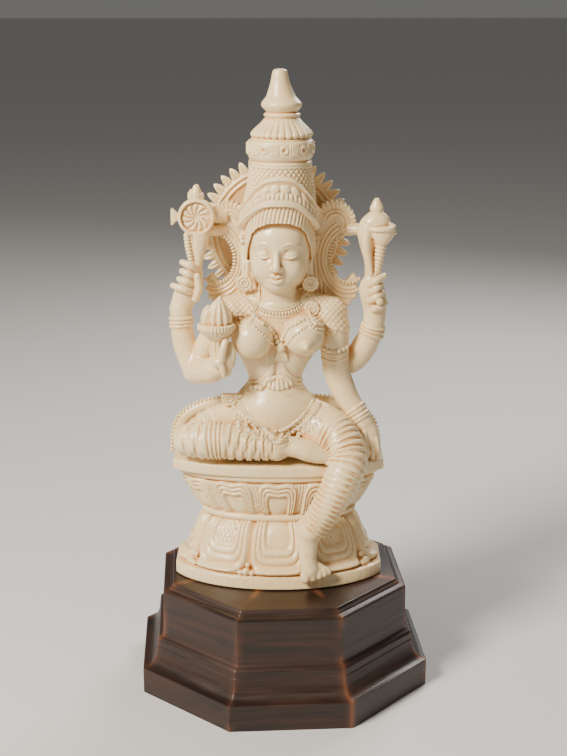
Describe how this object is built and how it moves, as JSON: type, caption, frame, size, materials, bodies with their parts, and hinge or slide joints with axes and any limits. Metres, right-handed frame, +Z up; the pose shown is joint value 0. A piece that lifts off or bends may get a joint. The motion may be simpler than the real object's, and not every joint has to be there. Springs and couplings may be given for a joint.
{
  "type": "carved goddess figurine on plinth",
  "caption": "Seated Hindu goddess with raised attributes, carved in ivory-coloured material on a tiered lotus throne with a toothed halo, on a stepped octagonal dark wooden plinth.",
  "frame": {"origin": "middle of the plinth's underside", "axes": "+Z up to the crown's tip, -Y towards the viewer that the figure faces, +X to that viewer's right"},
  "size_m": [0.1108, 0.1108, 0.2365],
  "materials": {
    "ivory": "cream ivory-coloured carving, polished to a satin gloss, slightly translucent with warm yellow recesses",
    "dark_wood": "nearly black stained hardwood, semi-gloss, with rubbed reddish-brown edges and fine straight grain"
  },
  "bodies": {
    "root": {"goddess_carving": "ivory", "octagonal_plinth": "dark_wood"}
  },
  "joints": []
}
